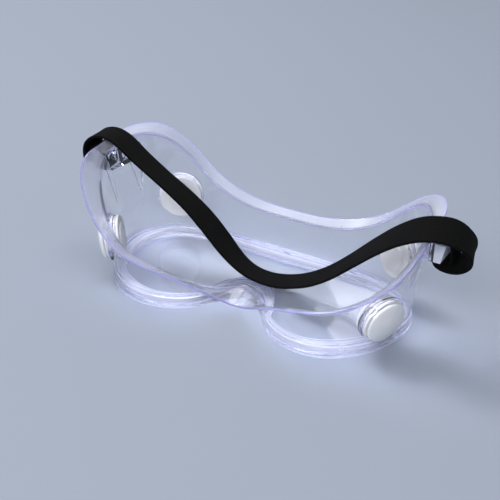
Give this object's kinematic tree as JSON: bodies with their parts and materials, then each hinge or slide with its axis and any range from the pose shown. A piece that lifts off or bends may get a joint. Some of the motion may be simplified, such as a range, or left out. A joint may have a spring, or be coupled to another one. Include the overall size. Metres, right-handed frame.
{
  "type": "safety goggles",
  "caption": "Clear soft-frame splash goggles with a flat lens, capped indirect vents and an elastic headband looped through side brackets.",
  "frame": {"origin": "middle of the lens rim's outer face, on which the goggles lie", "axes": "+Z from the lens towards the face, +Y towards the forehead, +X towards the wearer's right"},
  "size_m": [0.2106, 0.0909, 0.0661],
  "materials": {
    "clear_soft_frame": "clear soft moulded vinyl, violet at its edges",
    "clear_lens": "clear polished flat sheet",
    "vent_white": "milky translucent, satin",
    "elastic_band": "black woven elastic with fine lengthwise ribs"
  },
  "bodies": {
    "goggles": {"frame_body": "clear_soft_frame", "lens": "clear_lens", "headband_strap": "elastic_band", "vent_seat_upper_right": "vent_white", "vent_baffle_upper_right": "vent_white", "vent_inner_cover_upper_right": "vent_white", "vent_seat_upper_left": "vent_white", "vent_baffle_upper_left": "vent_white", "vent_inner_cover_upper_left": "vent_white", "vent_seat_lower_right": "vent_white", "vent_baffle_lower_right": "vent_white", "vent_inner_cover_lower_right": "vent_white", "vent_seat_lower_left": "vent_white", "vent_baffle_lower_left": "vent_white", "vent_inner_cover_lower_left": "vent_white"},
    "upper_right_cap": {"vent_cap_upper_right": "vent_white"},
    "upper_left_cap": {"vent_cap_upper_left": "vent_white"},
    "lower_right_cap": {"vent_cap_lower_right": "vent_white"},
    "lower_left_cap": {"vent_cap_lower_left": "vent_white"}
  },
  "joints": [
    {"name": "upper_right_cap_turn", "type": "hinge", "parent": "goggles", "child": "upper_right_cap", "pos_m": [0.06464, 0.03156, 0.02465], "axis": [0.4933, 0.8638, -0.1027], "continuous": true},
    {"name": "upper_left_cap_turn", "type": "hinge", "parent": "goggles", "child": "upper_left_cap", "pos_m": [-0.06464, 0.03156, 0.02465], "axis": [-0.4933, 0.8638, -0.1027], "continuous": true},
    {"name": "lower_right_cap_turn", "type": "hinge", "parent": "goggles", "child": "lower_right_cap", "pos_m": [0.07581, -0.02099, 0.01872], "axis": [0.8761, -0.444, -0.1878], "continuous": true},
    {"name": "lower_left_cap_turn", "type": "hinge", "parent": "goggles", "child": "lower_left_cap", "pos_m": [-0.07581, -0.02099, 0.01872], "axis": [-0.8761, -0.444, -0.1878], "continuous": true}
  ]
}
